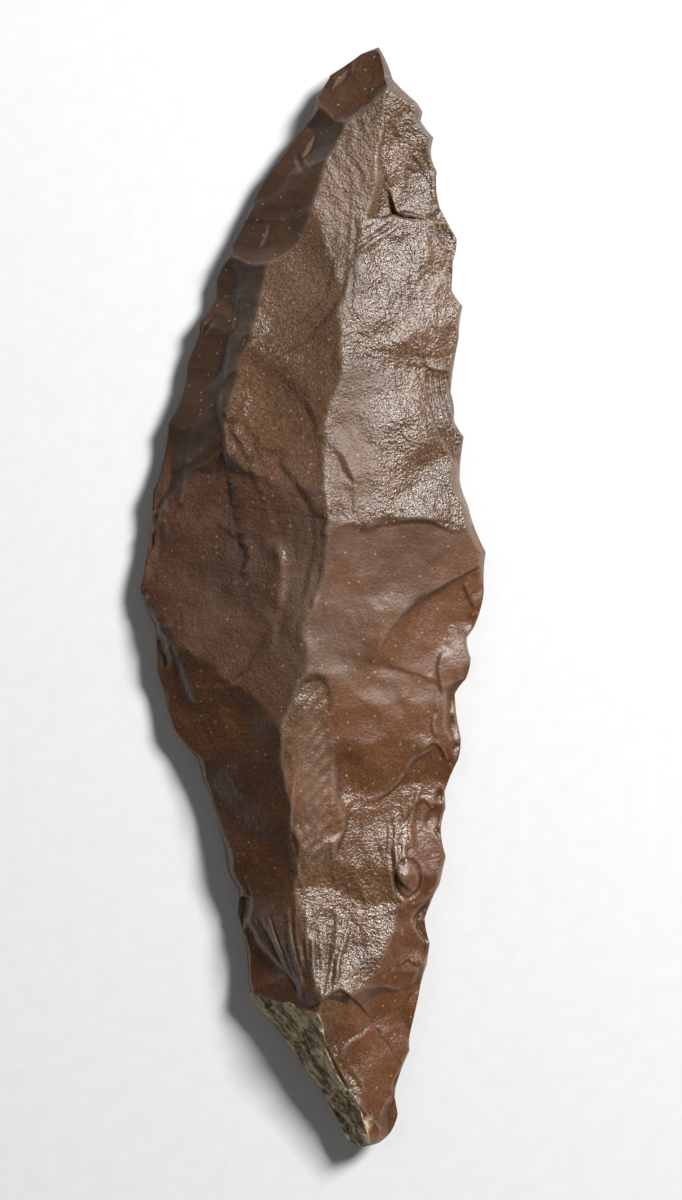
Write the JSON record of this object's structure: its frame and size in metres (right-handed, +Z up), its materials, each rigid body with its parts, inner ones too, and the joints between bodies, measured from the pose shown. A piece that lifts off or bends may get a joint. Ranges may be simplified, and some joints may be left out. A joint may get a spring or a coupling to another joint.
{
  "type": "flint sickle blade",
  "caption": "Leaf-shaped flint sickle blade, knapped from one piece, with a serrated cutting edge, a steep blunted back and cortex left at the butt.",
  "frame": {"origin": "middle of the flat underside, at the centre of the blade's outline box", "axes": "+Y along the blade to the tip, +X to the serrated cutting edge, +Z up from the flat underside to the ridged upper face"},
  "size_m": [0.0376, 0.12, 0.0105],
  "materials": {
    "flint": "red-brown flint with a glossy patina, rough yellow-grey cortex on the slanting side of the butt"
  },
  "bodies": {
    "root": {"flint_blade": "flint"}
  },
  "joints": []
}
